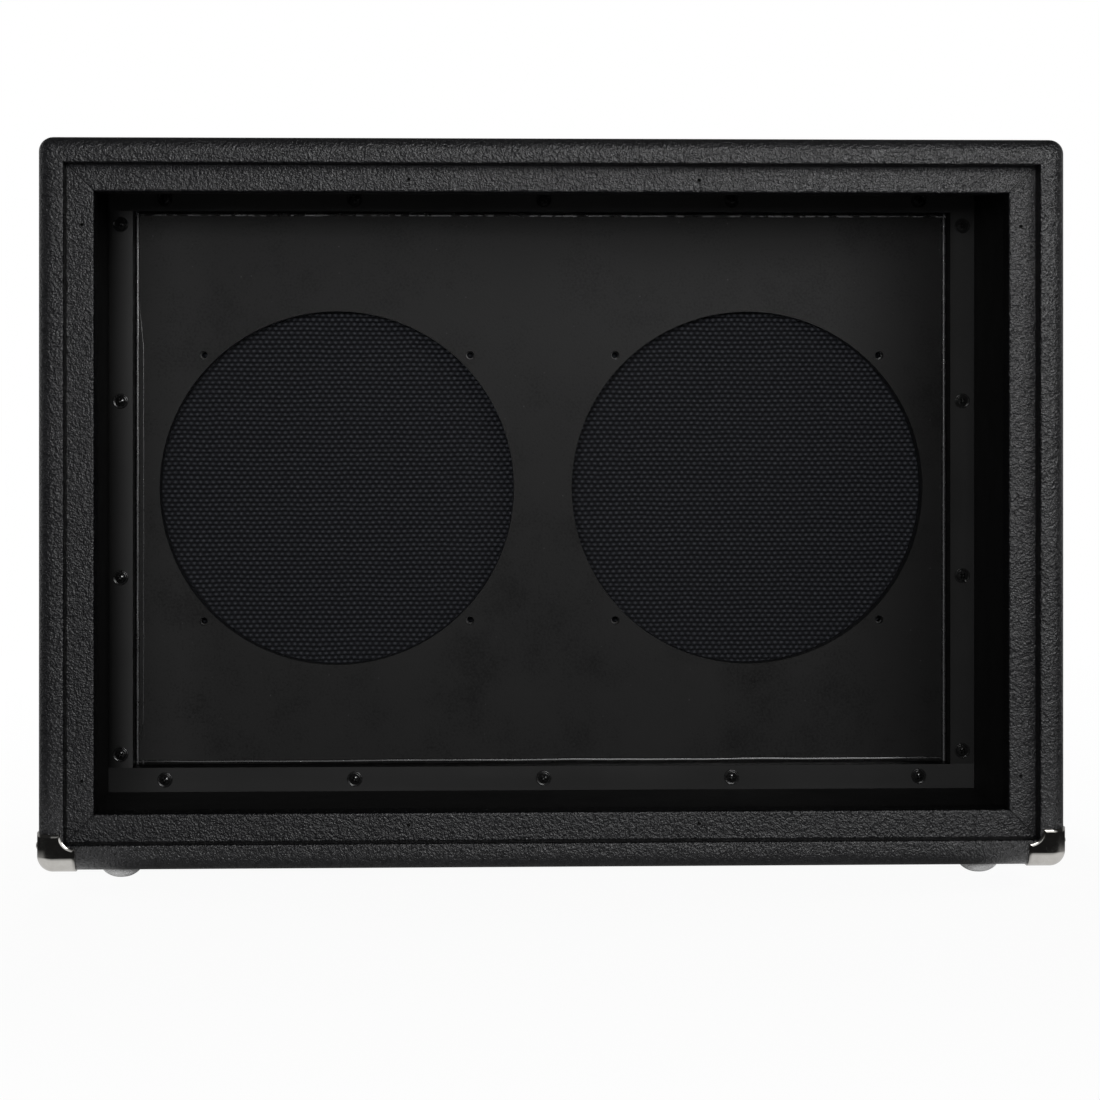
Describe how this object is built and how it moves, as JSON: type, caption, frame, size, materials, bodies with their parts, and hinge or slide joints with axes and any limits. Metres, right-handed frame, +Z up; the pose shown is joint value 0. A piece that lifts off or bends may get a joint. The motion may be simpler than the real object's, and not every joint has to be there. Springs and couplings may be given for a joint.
{
  "type": "guitar speaker cabinet",
  "caption": "Wide wooden guitar speaker cabinet for side-by-side speakers, empty, with its back off, black vinyl covering, cloth front, bright bottom corners and domed feet.",
  "frame": {"origin": "on the floor under the middle of the cabinet, level with the bottom of its feet", "axes": "+Z up, +X to the right seen from the cloth front, +Y towards the open back"},
  "size_m": [0.7204, 0.3074, 0.5198],
  "materials": {
    "shell_ply": "black stain, dull",
    "vinyl_covering": "fine pebbled black vinyl, satin",
    "cleat_wood": "bare, under its covering",
    "batten_wood": "black paint, dull",
    "black_screw": "black, satin",
    "baffle_ply": "black paint, matt",
    "sealant": "glossy black bead",
    "zinc_steel": "zinc plated",
    "spacer_wood": "black paint, dull",
    "grille_cloth": "coarse black plain weave",
    "bright_corner": "polished, lightly handled",
    "bright_foot": "polished"
  },
  "bodies": {
    "root": {"top_panel": "shell_ply", "bottom_panel": "shell_ply", "left_side_panel": "shell_ply", "right_side_panel": "shell_ply", "top_and_sides_covering": "vinyl_covering", "bottom_covering": "vinyl_covering", "cleat_covering_top": "vinyl_covering", "cleat_covering_bottom": "vinyl_covering", "cleat_covering_left": "vinyl_covering", "cleat_covering_right": "vinyl_covering", "rear_cleat_top": "cleat_wood", "rear_cleat_bottom": "cleat_wood", "rear_cleat_left": "cleat_wood", "rear_cleat_right": "cleat_wood", "baffle_batten_top": "batten_wood", "baffle_batten_bottom": "batten_wood", "baffle_batten_left": "batten_wood", "baffle_batten_right": "batten_wood", "batten_screws_top": "black_screw", "batten_screws_bottom": "black_screw", "batten_screws_left": "black_screw", "batten_screws_right": "black_screw", "baffle_board": "baffle_ply", "baffle_sealant": "sealant", "tee_nuts_left": "zinc_steel", "tee_nuts_right": "zinc_steel", "grille_spacer_top": "spacer_wood", "grille_spacer_bottom": "spacer_wood", "grille_spacer_left": "spacer_wood", "grille_spacer_right": "spacer_wood", "grille_cloth": "grille_cloth", "corner_rear_right": "bright_corner", "corner_rear_left": "bright_corner", "corner_front_right": "bright_corner", "corner_front_left": "bright_corner", "corner_screws": "bright_corner", "foot_front_left": "bright_foot", "foot_front_right": "bright_foot", "foot_rear_left": "bright_foot", "foot_rear_right": "bright_foot"}
  },
  "joints": []
}
